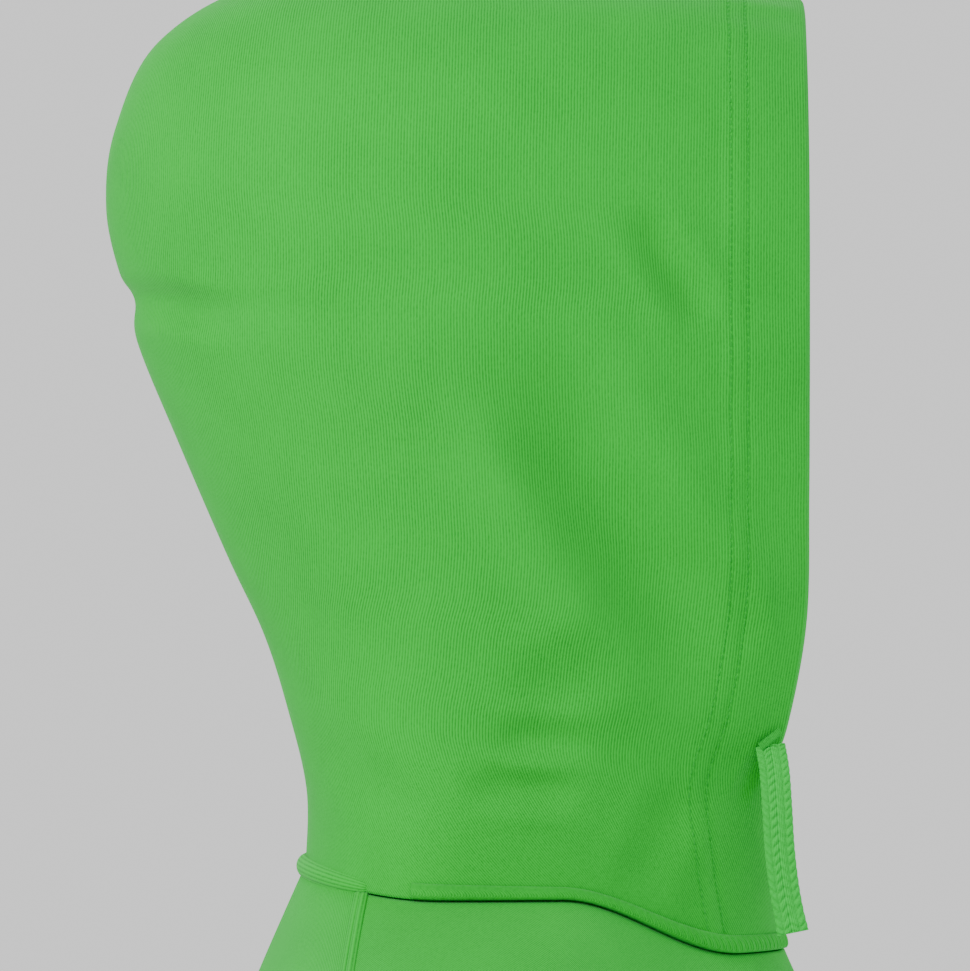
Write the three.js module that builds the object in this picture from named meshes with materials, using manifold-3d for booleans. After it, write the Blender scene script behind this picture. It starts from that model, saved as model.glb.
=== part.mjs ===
// A zip-up hoodie with its hood up, filled out as it is when worn. Millimetres, +Z up, front towards -Y.
// The origin is midway between the two points where the shoulder seams meet the neckline.
// Each cut piece is a thin wall on one smooth form, 0.3 mm from its neighbours at the seams.
import * as THREE from "three";
import { mergeVertices } from "three/addons/utils/BufferGeometryUtils.js";
import Module from "manifold-3d";

const wasm = await Module();
wasm.setup();

// ---- driving sizes ----
const CLOTH = 2; // brushed sweatshirt jersey
const RIB = 3; // 2 by 1 rib, folded double
const HEM = 4.2; // the turned hem round the face opening, two layers
const HEM_SHARE = 0.05; // the share of each hood row that the turned hem covers
const SEAM_GAP = 0.3;
const FACET_GAP = 0.9; // where two faceted edges with different corners meet
const DEGREE = Math.PI / 180;

// ---- materials ----
const finish = (color, roughness, metalness = 0) =>
  new THREE.MeshStandardMaterial({ color, roughness, metalness });
const JERSEY = finish("#43b453", 0.92);
const RIBBING = finish("#3fae4f", 0.94);
const CORD = finish("#46b858", 0.9);
const TAPE = finish("#2f9a40", 0.85);
const ENAMEL = finish("#2f9a40", 0.4, 0.2);

// ---- tables and the splines through them ----
// The body from hem to neckline. side, front and back are the ring's heights at the seam and the two centres;
// half is its half width, chest and spine its reach forwards and backwards, widest where the width is reached,
// seam the angle of the side or shoulder seam from centre front, and power the roundness of the corners.
const BODY = [
  { side: -600, front: -600, back: -600, half: 172, chest: -168, spine: 58, widest: -55, seam: 90, power: 2.3 },
  { side: -572, front: -572, back: -572, half: 190, chest: -188, spine: 76, widest: -55, seam: 90, power: 2.3 },
  { side: -480, front: -480, back: -480, half: 192, chest: -192, spine: 76, widest: -55, seam: 90, power: 2.3 },
  { side: -360, front: -360, back: -360, half: 193, chest: -195, spine: 77, widest: -52, seam: 90, power: 2.3 },
  { side: -235, front: -245, back: -235, half: 197, chest: -197, spine: 84, widest: -45, seam: 90, power: 2.3 },
  { side: -150, front: -175, back: -160, half: 203, chest: -194, spine: 82, widest: -25, seam: 94, power: 2.1 },
  { side: -58, front: -112, back: -95, half: 203, chest: -187, spine: 66, widest: -2, seam: 100, power: 1.9 },
  { side: -27, front: -62, back: -38, half: 143, chest: -177, spine: 44, widest: -15, seam: 112, power: 1.85 },
  { side: 0, front: -22, back: 8, half: 88, chest: -161, spine: 24, widest: -30, seam: 124, power: 2 },
];
const ARMPIT = 4; // the row of BODY where the armhole starts
const SHOULDER = 6; // and the row of the shoulder's tip
const NECK = BODY.length - 1;
const ARMHOLE = { front: 26, back: 38 }; // how far the armhole reaches from the seam, in degrees
const FRONT_OPENING = 6; // half the gap between the two front edges, where the zip shows
const DROP = { from: 0.34, to: 0.86 }; // cosines between which a ring falls to its centre front height

// The right half of the hood, from the neckline up the face opening to the top. Each row runs from a point on the
// face edge to a point on the centre seam; half is its largest half width, reached at the share called at.
const HOOD = [
  { edgeY: -161, edgeZ: -22, edge: 0, seamY: 24, seamZ: 8, half: 88, at: 0.708, front: 0.5 },
  { edgeY: -156, edgeZ: 10, edge: 24, seamY: 23.5, seamZ: 38, half: 86, at: 0.66, front: 0.6 },
  { edgeY: -153, edgeZ: 38, edge: 40, seamY: 31, seamZ: 70, half: 85, at: 0.6, front: 0.75 },
  { edgeY: -161, edgeZ: 64, edge: 52, seamY: 40, seamZ: 98, half: 88, at: 0.56, front: 0.9 },
  { edgeY: -167.5, edgeZ: 104, edge: 64, seamY: 54, seamZ: 128, half: 94, at: 0.52, front: 1 },
  { edgeY: -168, edgeZ: 150, edge: 74, seamY: 73, seamZ: 172, half: 100, at: 0.5, front: 1 },
  { edgeY: -168, edgeZ: 192, edge: 79, seamY: 88.5, seamZ: 210, half: 104, at: 0.5, front: 1 },
  { edgeY: -168, edgeZ: 208, edge: 80, seamY: 89.5, seamZ: 226, half: 105, at: 0.5, front: 1 },
  { edgeY: -168, edgeZ: 222, edge: 80, seamY: 95.5, seamZ: 237, half: 105, at: 0.5, front: 1 },
  { edgeY: -168, edgeZ: 248, edge: 79, seamY: 100.5, seamZ: 262, half: 104, at: 0.5, front: 1 },
  { edgeY: -168, edgeZ: 278, edge: 74, seamY: 97, seamZ: 292, half: 99, at: 0.48, front: 1 },
  { edgeY: -168, edgeZ: 304, edge: 63, seamY: 80, seamZ: 326, half: 88, at: 0.43, front: 1 },
  { edgeY: -168, edgeZ: 324, edge: 47, seamY: 40, seamZ: 348, half: 68, at: 0.37, front: 1 },
  { edgeY: -168, edgeZ: 336, edge: 29, seamY: -28, seamZ: 354, half: 43, at: 0.32, front: 1 },
  { edgeY: -167, edgeZ: 341.5, edge: 14, seamY: -92, seamZ: 350, half: 21, at: 0.28, front: 1 },
  { edgeY: -163, edgeZ: 344, edge: 0, seamY: -132, seamZ: 347, half: 0, at: 0.28, front: 1 },
];
const NECK_ROWS = 3; // the rows of HOOD over which the curve of the neckline dies away

// The two largest folds of the hood's side: soft troughs from one point to another, in Y and Z.
const FOLDS = [
  { fromY: -62, fromZ: 196, toY: -128, toZ: 88, wide: 19, deep: 6 },
  { fromY: -104, fromZ: 256, toY: -128, toZ: 214, wide: 11, deep: 3 },
];

// The right arm's centreline below the armhole, with the sleeve's half widths across and front to back.
const ARM = [
  { x: -277, y: -20, z: -268, across: 74, deep: 78 },
  { x: -291, y: -18, z: -338, across: 67, deep: 72 },
  { x: -303, y: -18, z: -415, across: 61, deep: 66 },
  { x: -311, y: -32, z: -495, across: 57, deep: 60 },
  { x: -316, y: -50, z: -565, across: 53, deep: 55 },
  { x: -318, y: -62, z: -604, across: 42, deep: 44 },
  { x: -319, y: -65, z: -614, across: 38, deep: 40 },
];
// The sleeve head: how steeply it leaves the armhole at its top, sides and armpit, and how far each end carries.
const HEAD = { top: 0.85, side: 0.38, low: 1.1, leave: 0.8, arrive: 0.75 };
const CUFF = { long: 64, across: 33 }; // its length, and its half width at the wrist
const BAND_HEM = { long: 60, grip: 0.95 }; // the hem band, and how far it draws the body in

// The neck band: the share of the neckline it covers from the front edge, and the rows of HOOD it lies between.
const BAND = { from: 0.06, to: 0.66, low: 0.02, high: 0.26, thick: 1.2 };

// The zip, its slider and its pull tab.
const ZIP = { tape: 0.8, chain: 2.4, half: 2.1 };
const SLIDER = { row: 7.05, wide: 9, long: 12, thick: 2, ahead: 0.55, lug: 1.4, lugLong: 3, pin: 1.2, pinOut: 2.6 };
const TAB = { eye: 2, hole: 0.95, thick: 1.6, long: 26 };

// The right drawcord's route from its hole, and its section.
const CORD_ROUTE = [
  { x: -58.2, y: -153.5, z: 57.5 },
  { x: -60.8, y: -155, z: 48 },
  { x: -61.5, y: -156, z: 34 },
  { x: -61, y: -157, z: 18 },
  { x: -60.3, y: -159, z: 2 },
  { x: -60, y: -162, z: -13 },
];
const CORD_SIZE = { wide: 11.5, thick: 2.4 };

const mix = (a, b, share) => a + (b - a) * share;
const clamp = (value) => Math.min(1, Math.max(0, value));
const smooth = (value) => clamp(value) ** 2 * (3 - 2 * clamp(value));

// One column of a table at a fractional row, by a Catmull-Rom spline through the rows.
function column(table, name, at) {
  const last = table.length - 1;
  const row = Math.min(Math.floor(Math.max(at, 0)), last - 1);
  const t = Math.min(Math.max(at, 0), last) - row;
  const [a, b, c, d] = [-1, 0, 1, 2].map((k) => table[Math.min(Math.max(row + k, 0), last)][name]);
  return b + 0.5 * t * (c - a + t * (2 * a - 5 * b + 4 * c - d + t * (3 * (b - c) + d - a)));
}

// ---- the garment's form ----
// A point of the body's outer side, angle degrees round from centre front over the wearer's right.
function bodyPoint(angle, row) {
  const at = (name) => column(BODY, name, row);
  const [sine, cosine] = [Math.sin(angle * DEGREE), Math.cos(angle * DEGREE)];
  const corner = 2 / at("power");
  const reach = cosine > 0 ? at("chest") : at("spine");
  const fall =
    cosine > 0
      ? (at("front") - at("side")) * smooth((cosine - DROP.from) / (DROP.to - DROP.from))
      : (at("back") - at("side")) * cosine ** 2;
  return new THREE.Vector3(
    -Math.sign(sine) * at("half") * Math.abs(sine) ** corner,
    mix(at("widest"), reach, Math.abs(cosine) ** corner),
    at("side") + fall,
  );
}

// How open the armhole is at a row: 0 at the armpit and the shoulder's tip, 1 half way.
function armholeShare(row) {
  const share = clamp((row - ARMPIT) / (SHOULDER - ARMPIT));
  return 2 * Math.sqrt(share * (1 - share));
}

const halfGap = (row) => SEAM_GAP / 2 / column(BODY, "half", row) / DEGREE;
const seamAngle = (row) => column(BODY, "seam", row);
const frontEdge = (row) => seamAngle(row) - ARMHOLE.front * armholeShare(row) - halfGap(row);
const backEdge = (row) => seamAngle(row) + ARMHOLE.back * armholeShare(row) + halfGap(row);

// The angle at which a body ring is a given distance from the centre plane.
function angleAt(distance, row) {
  const share = distance / column(BODY, "half", row);
  return Math.asin(share ** (column(BODY, "power", row) / 2)) / DEGREE;
}

const frontAngle = (u, row) => mix(angleAt(FRONT_OPENING, row), frontEdge(row), u);
const backAngle = (u, row) => mix(backEdge(row), 360 - backEdge(row), u);
const bodyFacing = (angle, row) => outwardAt(bodyPoint, angle, row, [0, 360], [0, NECK], true);

// The depth of the folds at a place on the hood's side.
function foldDepth(y, z) {
  return FOLDS.reduce((sum, fold) => {
    const [dy, dz] = [fold.toY - fold.fromY, fold.toZ - fold.fromZ];
    const long = Math.hypot(dy, dz);
    const along = ((y - fold.fromY) * dy + (z - fold.fromZ) * dz) / long ** 2;
    const across = ((y - fold.fromY) * dz - (z - fold.fromZ) * dy) / long;
    return sum + fold.deep * Math.exp(-((across / fold.wide) ** 2) - (2 * along - 1) ** 4);
  }, 0);
}

// A point of the hood's right panel: u from the face edge to the centre seam, row up the table HOOD.
function hoodPoint(u, row) {
  const at = (name) => column(HOOD, name, row);
  const share = (1 - Math.cos(Math.PI * clamp(u))) / 2;
  const widest = at("at");
  const half =
    share < widest
      ? at("edge") + (at("half") - at("edge")) * (1 - (1 - share / widest) ** 2) ** at("front")
      : at("half") * Math.sqrt(1 - ((share - widest) / (1 - widest)) ** 2);
  const y = mix(at("edgeY"), at("seamY"), share);
  const z = mix(at("edgeZ"), at("seamZ"), share) + neckCurve(share) * clamp(1 - row / NECK_ROWS) ** 2;
  const fold = foldDepth(y, z) * smooth(half / 60);
  return new THREE.Vector3(-Math.max(half - fold, 0) - SEAM_GAP / 2, y, z + FACET_GAP);
}

// How far the neckline lies above the straight line from its front to its back.
function neckCurve(share) {
  const [foot, ring] = [HOOD[0], BODY[NECK]];
  const y = mix(foot.edgeY, foot.seamY, share);
  const front = (ring.widest - y) / (ring.widest - ring.chest);
  const back = (y - ring.widest) / (ring.spine - ring.widest);
  const height =
    y < ring.widest
      ? ring.side + (ring.front - ring.side) * smooth((front - DROP.from) / (DROP.to - DROP.from))
      : ring.side + (ring.back - ring.side) * back ** 2;
  return height - mix(foot.edgeZ, foot.seamZ, share);
}

// The right armhole's seam: turn 0 at the shoulder's tip, 90 in front, 180 in the armpit, 270 behind.
function armholePoint(turn) {
  const row = mix(ARMPIT, SHOULDER, (1 + Math.cos(turn * DEGREE)) / 2);
  const swing = Math.sin(turn * DEGREE);
  return bodyPoint(seamAngle(row) - swing * (swing > 0 ? ARMHOLE.front : ARMHOLE.back), row);
}

// A place on the arm's centreline and the direction of the arm there.
const armCentre = (row) => new THREE.Vector3(...["x", "y", "z"].map((name) => column(ARM, name, row)));
const armAxis = (row) => armCentre(row + 0.1).sub(armCentre(row - 0.1)).normalize();

// A ring of the sleeve below the armhole, across its own centreline.
function armPoint(turn, row) {
  const at = (name) => column(ARM, name, row);
  const axis = armAxis(row);
  const ahead = new THREE.Vector3(0, -1, 0).addScaledVector(axis, axis.y).normalize();
  const outwards = new THREE.Vector3().crossVectors(axis, ahead).normalize();
  return armCentre(row)
    .addScaledVector(outwards, at("across") * Math.cos(turn * DEGREE))
    .addScaledVector(ahead, at("deep") * Math.sin(turn * DEGREE));
}

// A point of the sleeve: place 0 at the armhole, 1 at the arm's first ring, then one for each row of ARM.
// The sleeve head is a cubic from the armhole that leaves it outwards and arrives along the arm.
function sleevePoint(turn, place) {
  if (place >= 1) return armPoint(turn, place - 1);
  const [start, end] = [armholePoint(turn), armPoint(turn, 0)];
  const cosine = Math.cos(turn * DEGREE);
  const [top, low] = [((1 + cosine) / 2) ** 4, ((1 - cosine) / 2) ** 4];
  const slope = HEAD.side + (HEAD.top - HEAD.side) * top + (HEAD.low - HEAD.side) * low;
  const leave = new THREE.Vector3(-1, 0, -slope).normalize();
  const arrive = armPoint(turn, 0.2).sub(end).normalize();
  const reach = start.distanceTo(end);
  start.addScaledVector(leave, SEAM_GAP);
  const [p, q] = [place ** 2, place ** 3];
  return start
    .multiplyScalar(2 * q - 3 * p + 1)
    .addScaledVector(end, 3 * p - 2 * q)
    .addScaledVector(leave, reach * HEAD.leave * (q - 2 * p + place))
    .addScaledVector(arrive, reach * HEAD.arrive * (q - p));
}

// The cuff goes on from the sleeve's end, along the arm's last direction.
function cuffPoint(turn, share) {
  const last = ARM.length - 1;
  const centre = armCentre(last);
  const grip = mix(1, CUFF.across / ARM[last].across, smooth(share * 2));
  return armPoint(turn, last)
    .sub(centre)
    .multiplyScalar(grip)
    .add(centre)
    .addScaledVector(armAxis(last), SEAM_GAP + CUFF.long * share);
}

// The hem band goes on from the body's lowest ring, drawn in towards the centre; share is 1 at the top.
function intoBand(point, share) {
  const grip = mix(1, BAND_HEM.grip, smooth((1 - share) * 1.6));
  const x = Math.abs(point.x) < 3 * FRONT_OPENING ? point.x : point.x * grip;
  const y = mix(BODY[0].widest, point.y, grip);
  return new THREE.Vector3(x, y, point.z - SEAM_GAP - BAND_HEM.long * (1 - share));
}
const bandEdge = angleAt(FRONT_OPENING, 0);
const hemPoint = (u, share) => intoBand(bodyPoint(mix(bandEdge, 360 - bandEdge, u), 0), share);

// The zip, at a distance from the centre plane: beside the body's rows, and from row 0 to -1 beside the hem band.
function zipPoint(x, row) {
  const point = bodyPoint(Math.sign(-x) * angleAt(Math.abs(x), Math.max(row, 0)), Math.max(row, 0));
  return row < 0 ? intoBand(point, 1 + row) : point;
}
const tapePoint = (u, row) => zipPoint(-mix(ZIP.half + SEAM_GAP, FRONT_OPENING - SEAM_GAP, u), row);
const chainPoint = (u, row) => zipPoint(mix(ZIP.half, -ZIP.half, u), row);

// The flat cord: side -1 to 1 across its width, share 0 at the hole to 1 at the cut end.
function cordPoint(side, share) {
  const [route, step] = [share * (CORD_ROUTE.length - 1), 0.01];
  const at = (row) => new THREE.Vector3(...["x", "y", "z"].map((name) => column(CORD_ROUTE, name, row)));
  const along = at(route + step).sub(at(route - step)).normalize();
  const across = new THREE.Vector3(-1, 0, 0).cross(along).normalize();
  return at(route).addScaledVector(across, (side * CORD_SIZE.wide) / 2);
}

// ---- walls ----
const range = (count, from = 0, to = 1) => Array.from({ length: count + 1 }, (_, i) => mix(from, to, i / count));
const bunched = (count, from, to) => range(count).map((s) => mix(from, to, (1 - Math.cos(Math.PI * s)) / 2));

// The outward direction of a surface at a place, from its points a little to each side.
function outwardAt(surface, u, v, us, vs, loop) {
  const [du, dv] = [(us.at(-1) - us[0]) * 1e-3, (vs.at(-1) - vs[0]) * 1e-3];
  const within = (value, list) => Math.min(Math.max(value, list[0]), list.at(-1));
  const [low, high] = loop ? [u - du, u + du] : [within(u - du, us), within(u + du, us)];
  const alongU = surface(high, v).sub(surface(low, v));
  const alongV = surface(u, within(v + dv, vs)).sub(surface(u, within(v - dv, vs)));
  return alongV.normalize().cross(alongU.normalize()).normalize();
}

// A closed wall between two sides of a surface, lift outside it and lift less thick, and the edges between them.
// keep moves a point that has strayed over a seam back to its own side.
// facing gives the outward direction where a neighbour shares the form, so that both sides of a seam agree.
function wall(surface, us, vs, { thick = CLOTH, lift = 0, loop = false, keep = (point) => point, facing } = {}) {
  const columns = loop ? us.slice(0, -1) : us;
  const depth = typeof thick === "function" ? thick : () => thick;
  const points = [[], []];
  for (const v of vs)
    for (const u of columns) {
      const base = surface(u, v);
      const outwards = facing ? facing(u, v) : outwardAt(surface, u, v, us, vs, loop);
      points[0].push(keep(base.clone().addScaledVector(outwards, lift)));
      points[1].push(keep(base.addScaledVector(outwards, lift - depth(u, v))));
    }
  const [wide, high] = [columns.length, vs.length];
  const at = (side, i, j) => side * wide * high + j * wide + (i % wide);
  const index = [];
  const quad = (a, b, c, d) => index.push(a, b, c, a, c, d);
  for (let j = 0; j < high - 1; j++)
    for (let i = 0; i < (loop ? wide : wide - 1); i++) {
      quad(at(0, i, j), at(0, i, j + 1), at(0, i + 1, j + 1), at(0, i + 1, j));
      quad(at(1, i, j), at(1, i + 1, j), at(1, i + 1, j + 1), at(1, i, j + 1));
    }
  for (let i = 0; i < (loop ? wide : wide - 1); i++) {
    quad(at(0, i, 0), at(0, i + 1, 0), at(1, i + 1, 0), at(1, i, 0));
    quad(at(0, i, high - 1), at(1, i, high - 1), at(1, i + 1, high - 1), at(0, i + 1, high - 1));
  }
  for (let j = 0; j < high - 1 && !loop; j++) {
    quad(at(0, 0, j), at(1, 0, j), at(1, 0, j + 1), at(0, 0, j + 1));
    quad(at(0, wide - 1, j), at(0, wide - 1, j + 1), at(1, wide - 1, j + 1), at(1, wide - 1, j));
  }
  const made = new THREE.BufferGeometry().setFromPoints(points.flat());
  made.setIndex(index);
  return facingOut(made);
}

// The same closed geometry with its triangles turned so that it has a positive volume.
function facingOut(geometry) {
  const [place, index] = [geometry.getAttribute("position"), geometry.getIndex()];
  const corner = (k) => new THREE.Vector3().fromBufferAttribute(place, index.getX(k));
  let volume = 0;
  for (let k = 0; k < index.count; k += 3) volume += corner(k).dot(corner(k + 1).cross(corner(k + 2)));
  if (volume < 0)
    for (let k = 0; k < index.count; k += 3) {
      const swap = index.getX(k + 1);
      index.setX(k + 1, index.getX(k + 2));
      index.setX(k + 2, swap);
    }
  return geometry;
}

// A geometry with its shared corners merged, and a unit vector by name.
function indexed(geometry) {
  const bare = geometry.clone();
  bare.deleteAttribute("normal");
  bare.deleteAttribute("uv");
  return mergeVertices(bare, 1e-4);
}
const unit = (name) => new THREE.Vector3().setComponent(["x", "y", "z"].indexOf(name), 1);

const mirrored = (geometry) => facingOut(geometry.clone().scale(-1, 1, 1));

// A solid from a closed geometry, for joining.
function solid(geometry) {
  const bare = geometry.clone();
  bare.deleteAttribute("normal");
  bare.deleteAttribute("uv");
  const merged = mergeVertices(bare, 1e-4);
  const vertProperties = new Float32Array(merged.getAttribute("position").array);
  return new wasm.Manifold(new wasm.Mesh({ numProp: 3, vertProperties, triVerts: new Uint32Array(merged.index.array) }));
}

function joined(...geometries) {
  const mesh = geometries.map(solid).reduce((a, b) => a.add(b)).getMesh();
  const made = new THREE.BufferGeometry();
  made.setAttribute("position", new THREE.BufferAttribute(mesh.vertProperties.slice(), 3));
  made.setIndex(new THREE.BufferAttribute(mesh.triVerts.slice(), 1));
  return made;
}

// ---- the garment ----
const hoodie = new THREE.Group();

function add(name, geometry, material, parent = hoodie) {
  const mesh = new THREE.Mesh(geometry, material);
  mesh.name = name;
  parent.add(mesh);
  return mesh;
}

// A piece of the wearer's right side and its mirror image on the left.
function addPair(name, geometry, material) {
  add(`${name}_right`, geometry, material);
  add(`${name}_left`, mirrored(geometry), material);
}

// Keeps a point of the right side at least a distance from the centre plane.
const rightOf = (distance) => (point) => point.setX(Math.min(point.x, -distance));

// Front and back panels, on rows that are close together where the armhole turns.
const bodyRows = [...[0, 0.4, 1, 2, 3], ...bunched(10, ARMPIT, SHOULDER), ...[6.35, 6.7, 7, 7.5, NECK]];
const panel = (angle, columns, keep) =>
  wall((u, row) => bodyPoint(angle(u, row), row), range(columns), bodyRows, {
    keep,
    facing: (u, row) => bodyFacing(angle(u, row), row),
  });
addPair("front", panel(frontAngle, 12, rightOf(FRONT_OPENING)), JERSEY);
add("back", panel(backAngle, 14), JERSEY);

// The hood: two panels, joined by the centre seam, with a turned hem round the face.
const hoodColumns = [0, 0.12, 0.145, ...range(12, 0.2, 1)];
const hoodRows = [0, 0.5, 1, 1.5, 2, 2.5, 3, 3.5, 4, 4.5, ...range(HOOD.length - 6, 5, HOOD.length - 1)];
const hoodThickness = (u) => (clamp((1 - Math.cos(Math.PI * u)) / 2) < HEM_SHARE ? HEM : CLOTH);
const halfSeam = rightOf(SEAM_GAP / 2);
addPair("hood", wall(hoodPoint, hoodColumns, hoodRows, { thick: hoodThickness, keep: halfSeam }), JERSEY);

// The tape that covers the neck seam in front, on the foot of the hood.
const bandColumns = hoodColumns.filter((u) => u >= BAND.from && u <= BAND.to);
const bandRows = range(1, BAND.low, BAND.high);
const bandLift = FACET_GAP + BAND.thick;
addPair("neck_band", wall(hoodPoint, bandColumns, bandRows, { thick: BAND.thick, lift: bandLift }), JERSEY);

// Sleeves and rib cuffs.
const turns = range(20, 0, 360);
const places = [...range(6), 1.5, 2, 2.5, 3, 4, 5, 5.6, ARM.length];
addPair("sleeve", wall(sleevePoint, turns, places, { loop: true }), JERSEY);
addPair("cuff", wall(cuffPoint, turns, range(3), { thick: RIB, loop: true }), RIBBING);

// The rib hem band, one piece from zip to zip.
add("hem_band", wall(hemPoint, range(36), range(3), { thick: RIB }), RIBBING);

// The zip: a tape behind each front edge, the closed chain between them and the box at its foot.
const zipRows = [-0.97, -0.6, -0.2, ...bodyRows.slice(0, -1), NECK - 0.15];
const tapeLift = ZIP.tape - CLOTH;
addPair("zip_tape", wall(tapePoint, range(1), zipRows, { thick: ZIP.tape, lift: tapeLift }), TAPE);
add("zip_chain", wall(chainPoint, range(1), zipRows, { thick: ZIP.chain, lift: tapeLift + ZIP.tape / 2 }), TAPE);

// The slider on the chain, and the pull tab that hangs from its pin.
const slider = new THREE.Group();
const seat = chainPoint(0.5, SLIDER.row);
const [above, below] = [chainPoint(0.5, SLIDER.row + 0.05), chainPoint(0.5, SLIDER.row - 0.05)];
slider.position.set(0, seat.y - SLIDER.ahead, seat.z);
slider.rotation.x = -Math.atan2(above.y - below.y, above.z - below.z);
hoodie.add(slider);
const plate = new THREE.BoxGeometry(SLIDER.wide, SLIDER.thick, SLIDER.long);
const lug = new THREE.BoxGeometry(SLIDER.lug, SLIDER.pinOut + SLIDER.pin, SLIDER.lugLong);
const lugY = -SLIDER.thick / 2 - (SLIDER.pinOut + SLIDER.pin) / 2 + 0.2;
const lugs = [-1, 1].map((side) => lug.clone().translate((side * (SLIDER.wide - SLIDER.lug)) / 2, lugY, 0));
const pinY = -SLIDER.thick / 2 - SLIDER.pinOut;
const pin = new THREE.CylinderGeometry(SLIDER.pin / 2, SLIDER.pin / 2, SLIDER.wide - SLIDER.lug, 16)
  .rotateZ(Math.PI / 2)
  .translate(0, pinY, 0);
add("zip_slider", joined(plate, ...lugs, pin), ENAMEL, slider);

// The tab: an eye round the pin and a flat tail, drawn in Y and Z and extruded across.
const tab = new THREE.Shape();
const neck = Math.asin(TAB.thick / 2 / TAB.eye);
tab.absarc(0, 0, TAB.eye, -Math.PI / 2 + neck, (3 * Math.PI) / 2 - neck, false);
tab.lineTo(-TAB.thick / 2, -TAB.long);
tab.lineTo(TAB.thick / 2, -TAB.long);
tab.closePath();
tab.holes.push(new THREE.Path().absarc(0, 0, TAB.hole, 0, 2 * Math.PI, true));
const tabWide = SLIDER.wide - 2 * SLIDER.lug - 2 * SEAM_GAP;
const tabGeometry = new THREE.ExtrudeGeometry(tab, { depth: tabWide, bevelEnabled: false, curveSegments: 10 })
  .applyMatrix4(new THREE.Matrix4().makeBasis(...["y", "z", "x"].map(unit)))
  .translate(-tabWide / 2, pinY, 0);
add("pull_tab", facingOut(tabGeometry.index ? tabGeometry : indexed(tabGeometry)), ENAMEL, slider);

// The free ends of the flat drawcord, one each side, hanging from the holes in the hood's hem.
addPair("drawcord", wall(cordPoint, [-1, 1], range(18), { thick: CORD_SIZE.thick, lift: CORD_SIZE.thick / 2 }), CORD);

export default hoodie;
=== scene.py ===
"""A zip-up hoodie with its hood up, filled out as worn. Blender 4.5, metres, front towards -Y, +Z up."""

import bmesh
import bpy
import numpy as np
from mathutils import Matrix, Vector


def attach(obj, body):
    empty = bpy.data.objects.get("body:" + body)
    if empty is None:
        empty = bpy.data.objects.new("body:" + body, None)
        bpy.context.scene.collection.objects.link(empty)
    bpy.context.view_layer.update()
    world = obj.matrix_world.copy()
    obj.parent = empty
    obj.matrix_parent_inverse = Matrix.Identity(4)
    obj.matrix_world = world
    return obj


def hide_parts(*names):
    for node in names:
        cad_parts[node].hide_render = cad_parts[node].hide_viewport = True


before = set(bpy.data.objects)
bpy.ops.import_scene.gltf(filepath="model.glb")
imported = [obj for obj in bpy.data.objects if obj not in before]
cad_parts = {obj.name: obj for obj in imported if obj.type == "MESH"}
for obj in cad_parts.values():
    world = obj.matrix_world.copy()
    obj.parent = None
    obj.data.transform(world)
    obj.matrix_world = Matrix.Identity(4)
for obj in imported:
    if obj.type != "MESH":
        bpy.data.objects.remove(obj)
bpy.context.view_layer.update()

# ---- camera ----
# The view is square on to the wearer's right, from far enough away that the hood shows in true profile.
VIEW_WIDTH = 0.373
VIEW_CENTRE = Vector((0, -0.0459, 0.1556))
VIEW_DISTANCE = 3.2
camera = bpy.data.objects.new("camera", bpy.data.cameras.new("camera"))
camera.data.sensor_width = 36
camera.data.lens = 36 * VIEW_DISTANCE / VIEW_WIDTH
camera.location = VIEW_CENTRE + Vector((-VIEW_DISTANCE, 0, 0))
camera.rotation_euler = (np.pi / 2, 0, -np.pi / 2)
bpy.context.scene.collection.objects.link(camera)
bpy.context.scene.camera = camera

# ---- drawcords ----
# Flat knitted cotton cord, one end each side. It leaves a worked hole in the hood's hem and hangs free to a
# plain cut end. Its face shows four columns of slanting stitches, made as real relief.
MM = 0.001
CORD_WIDTH = 11.5
CORD_THICK = 2.4
CORD_LENGTH = 71
CORD_STITCH = 3.0
CORD_TIE = 64
CORD_ROUTE = np.array([
    (-58.2, -153.5, 57.5), (-60.8, -155, 48), (-61.5, -156, 34),
    (-61, -157, 18), (-60.3, -159, 2), (-60, -162, -13),
])


def smooth(value):
    """A soft step: 3s^2 - 2s^3 of the value held between 0 and 1."""
    share = np.clip(value, 0, 1)
    return share * share * (3 - 2 * share)


def spline(values, at):
    """A Catmull-Rom spline through evenly spaced values, read at fractional rows."""
    values = np.asarray(values, float)
    last = len(values) - 1
    at = np.clip(np.asarray(at, float), 0, last)
    row = np.minimum(np.floor(at).astype(int), last - 1)
    t = at - row
    a, b, c, d = (values[np.clip(row + k, 0, last)] for k in (-1, 0, 1, 2))
    if values.ndim > 1:
        t = t[..., None]
    return b + 0.5 * t * (c - a + t * (2 * a - 5 * b + 4 * c - d + t * (3 * (b - c) + d - a)))


def unit(vectors):
    """Vectors divided by their lengths."""
    return vectors / np.maximum(np.linalg.norm(vectors, axis=-1, keepdims=True), 1e-9)


def make_mesh(name, points, faces, uv):
    """An object from points and a UV for each, both in millimetres, and faces as lists of corners."""
    mesh = bpy.data.meshes.new(name)
    mesh.from_pydata((points.reshape(-1, 3) * MM).tolist(), [], faces)
    layer = mesh.uv_layers.new(name="cloth")
    corner = np.empty(len(mesh.loops), np.int32)
    mesh.loops.foreach_get("vertex_index", corner)
    layer.data.foreach_set("uv", (uv.reshape(-1, 2)[corner] * MM).astype(np.float32).ravel())
    mesh.polygons.foreach_set("use_smooth", np.ones(len(mesh.polygons), bool))
    mesh.update()
    piece = bpy.data.objects.new(name, mesh)
    bpy.context.scene.collection.objects.link(piece)
    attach(piece, "garment")
    return piece


def faced_out(piece):
    """The same piece with its faces turned to point outwards."""
    work = bmesh.new()
    work.from_mesh(piece.data)
    bmesh.ops.recalc_face_normals(work, faces=work.faces)
    work.to_mesh(piece.data)
    work.free()
    return piece


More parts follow.
